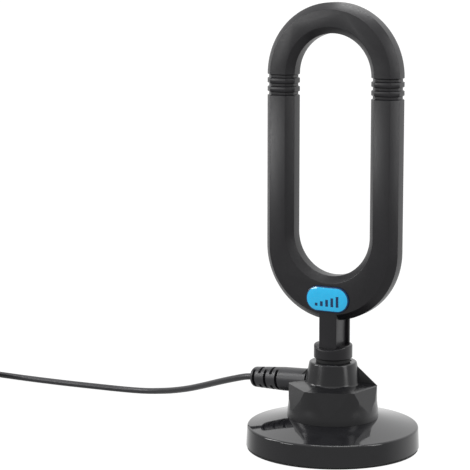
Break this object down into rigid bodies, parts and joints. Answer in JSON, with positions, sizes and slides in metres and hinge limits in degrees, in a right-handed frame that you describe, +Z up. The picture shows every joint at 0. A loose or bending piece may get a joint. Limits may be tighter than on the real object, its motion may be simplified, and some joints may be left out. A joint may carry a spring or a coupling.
{
  "type": "caravan tv antenna",
  "caption": "Loop television antenna that swivels on a round magnetic foot with a six-sided amplifier housing, with a thin coaxial lead and its plug.",
  "frame": {"origin": "centre of the underside of the foot's pad, on the swivel's axis", "axes": "+Z up along the swivel's axis, -Y out of the loop's front face, +X to the right seen from the front"},
  "size_m": [0.2986, 0.1041, 0.1946],
  "materials": {
    "gloss_black": "high-gloss moulded ABS",
    "satin_black": "satin moulded ABS",
    "matte_black": "fine spark-eroded texture on moulded ABS",
    "badge_blue": "domed clear resin over blue",
    "lead_black": "satin PVC",
    "tie_black": "smooth nylon",
    "pad_rubber": "matt rubber",
    "ferrite": "sintered ferrite",
    "zinc_steel": "zinc-plated steel",
    "tinned_steel": "tinned sheet steel",
    "laminate": "glass-fibre laminate with solder mask",
    "chip_black": "moulded epoxy",
    "contact_metal": "gold-plated brass",
    "copper": "copper foil",
    "plug_metal": "nickel-plated brass",
    "insulator_white": "natural polythene"
  },
  "bodies": {
    "foot": {"foot_pad": "pad_rubber", "magnet": "ferrite", "yoke_plate": "zinc_steel", "yoke_screws": "zinc_steel", "foot_cover": "gloss_black", "housing_screws": "zinc_steel", "housing": "satin_black", "board": "laminate", "board_screws": "zinc_steel", "shield_can": "tinned_steel", "amplifier_chip": "chip_black", "bias_choke": "ferrite", "capacitor": "chip_black", "board_socket": "contact_metal", "strain_relief": "lead_black", "crimp_ferrule": "tinned_steel", "inner_lead": "lead_black", "friction_ring": "pad_rubber", "cable": "lead_black", "cable_coil": "lead_black", "cable_tail": "lead_black", "coil_tie": "tie_black", "plug_grip": "lead_black", "plug_shell": "plug_metal", "plug_insulator": "insulator_white", "plug_pin": "plug_metal"},
    "loop": {"stop_plate": "zinc_steel", "retaining_clip": "zinc_steel", "collar": "matte_black", "neck_screw": "zinc_steel", "loop_front": "matte_black", "loop_back": "matte_black", "loop_screws": "zinc_steel", "element_board": "laminate", "element": "copper", "balun": "ferrite", "loop_lead": "lead_black", "badge": "badge_blue"}
  },
  "joints": [
    {"name": "loop_swivel", "type": "hinge", "parent": "foot", "child": "loop", "pos_m": [0, 0, 0.0402], "axis": [0, 0, 1], "range_deg": [-165, 165]}
  ]
}
